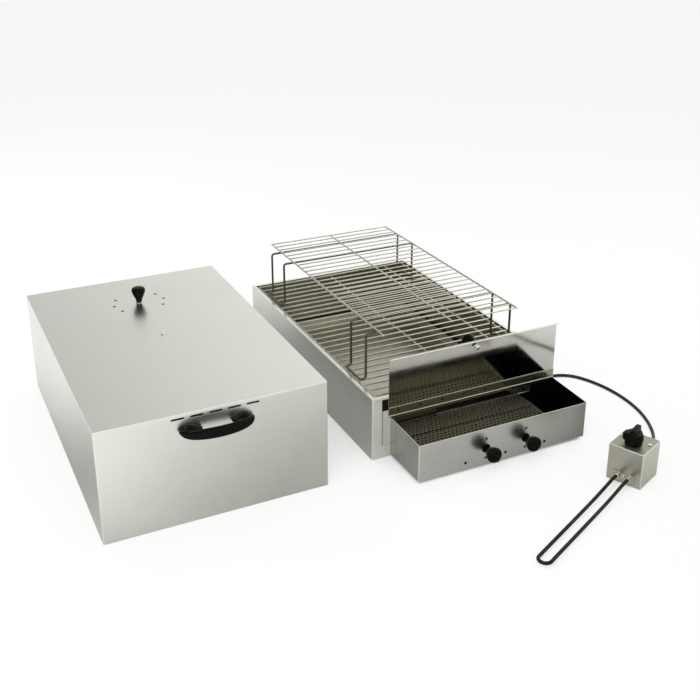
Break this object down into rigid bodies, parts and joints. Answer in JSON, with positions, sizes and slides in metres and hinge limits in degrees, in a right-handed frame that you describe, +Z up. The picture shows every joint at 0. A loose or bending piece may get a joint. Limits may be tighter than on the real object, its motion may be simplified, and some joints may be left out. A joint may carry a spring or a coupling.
{
  "type": "table-top electric smoker",
  "caption": "Stainless table-top electric smoker taken apart: base with grid and raised rack, hinged firebox, hood beside it, plug-in igniter on a lead.",
  "frame": {"origin": "centre of the base tub's flat underside, on the floor", "axes": "+X to the base's right seen from the firebox side, +Y from the firebox towards the base's back, +Z up"},
  "size_m": [1.1871, 1.1074, 0.2623],
  "materials": {
    "brushed_sheet": "brushed, satin",
    "bright_sheet": "bright, nearly polished",
    "drawn_wire": "drawn, smooth",
    "perforated_sheet": "smoked, dull",
    "plated_fixings": "bright",
    "black_phenolic": "glossy",
    "black_rubber": "matte",
    "cord_rubber": "soft sheen",
    "heater_sheath": "oxidised, dull",
    "moulded_cream": "matte"
  },
  "bodies": {
    "base": {"base_tub": "brushed_sheet", "grid_rail_left": "brushed_sheet", "grid_rail_right": "brushed_sheet", "firebox_body": "brushed_sheet", "firebox_mount_plate": "brushed_sheet", "igniter_case": "brushed_sheet", "igniter_base_plate": "brushed_sheet", "firebox_hinge_leaf": "bright_sheet", "firebox_foot_screw": "plated_fixings", "hinge_pin": "plated_fixings", "igniter_screw_left": "plated_fixings", "igniter_screw_right": "plated_fixings", "heater_flange": "plated_fixings", "gland_nut_left": "plated_fixings", "gland_nut_right": "plated_fixings", "flange_screw": "plated_fixings", "plug_pin_left": "plated_fixings", "plug_pin_right": "plated_fixings", "firebox_foot": "black_rubber", "cord_bushing": "black_rubber", "plug_body": "black_rubber", "mains_cord": "cord_rubber", "mains_coil": "cord_rubber", "heater_element": "heater_sheath", "regulator_body": "moulded_cream", "terminal_block": "moulded_cream"},
    "hood": {"hood_shell": "brushed_sheet", "hood_handle": "black_phenolic", "handle_screw_left": "plated_fixings", "handle_screw_right": "plated_fixings", "hood_centre_rivet": "plated_fixings"},
    "hood_vent": {"hood_vent_damper": "brushed_sheet", "hood_vent_knob": "black_phenolic"},
    "lower_grid": {"lower_grid": "drawn_wire"},
    "upper_rack": {"upper_rack": "drawn_wire"},
    "front_stand": {"front_stand": "drawn_wire"},
    "rear_stand": {"rear_stand": "drawn_wire"},
    "drip_tray": {"drip_tray": "bright_sheet"},
    "sawdust_tray": {"sawdust_tray": "perforated_sheet"},
    "flap": {"flap_panel": "bright_sheet", "flap_hinge_leaf": "bright_sheet", "flap_knob": "black_phenolic", "flap_knob_screw": "plated_fixings"},
    "air_left": {"air_damper_left": "brushed_sheet", "air_knob_left": "black_phenolic"},
    "air_right": {"air_damper_right": "brushed_sheet", "air_knob_right": "black_phenolic"},
    "dial": {"dial_knob": "black_phenolic", "dial_spindle": "plated_fixings"}
  },
  "joints": [
    {"name": "hood_lift", "type": "slide", "parent": "base", "child": "hood", "axis": [0, 0, 1], "range_m": [0, 0.3]},
    {"name": "hood_vent_turn", "type": "hinge", "parent": "hood", "child": "hood_vent", "pos_m": [-0.5545, 0.147, 0.226], "axis": [0, 0, 1], "range_deg": [0, 60]},
    {"name": "lower_grid_lift", "type": "slide", "parent": "base", "child": "lower_grid", "axis": [0, 0, 1], "range_m": [0, 0.045]},
    {"name": "upper_rack_lift", "type": "slide", "parent": "lower_grid", "child": "upper_rack", "axis": [0, 0, 1], "range_m": [0, 0.2]},
    {"name": "front_stand_shift", "type": "slide", "parent": "lower_grid", "child": "front_stand", "axis": [0, -1, 0], "range_m": [0, 0.045]},
    {"name": "rear_stand_shift", "type": "slide", "parent": "lower_grid", "child": "rear_stand", "axis": [0, 1, 0], "range_m": [0, 0.045]},
    {"name": "drip_tray_lift", "type": "slide", "parent": "base", "child": "drip_tray", "axis": [0, 0, 1], "range_m": [0, 0.1]},
    {"name": "sawdust_tray_lift", "type": "slide", "parent": "base", "child": "sawdust_tray", "axis": [0, 0, 1], "range_m": [0, 0.088]},
    {"name": "flap_hinge", "type": "hinge", "parent": "base", "child": "flap", "pos_m": [0.02025, -0.3383, 0.0935], "axis": [-1, 0, 0], "range_deg": [-90, 0]},
    {"name": "air_left_turn", "type": "hinge", "parent": "base", "child": "air_left", "pos_m": [-0.025, -0.455, 0.042], "axis": [0, 1, 0], "range_deg": [0, 90]},
    {"name": "air_right_turn", "type": "hinge", "parent": "base", "child": "air_right", "pos_m": [0.07, -0.455, 0.042], "axis": [0, 1, 0], "range_deg": [0, 90]},
    {"name": "dial_turn", "type": "hinge", "parent": "base", "child": "dial", "pos_m": [0.20934, -0.61216, 0.0765], "axis": [0, 0, 1], "range_deg": [0, 270]}
  ]
}
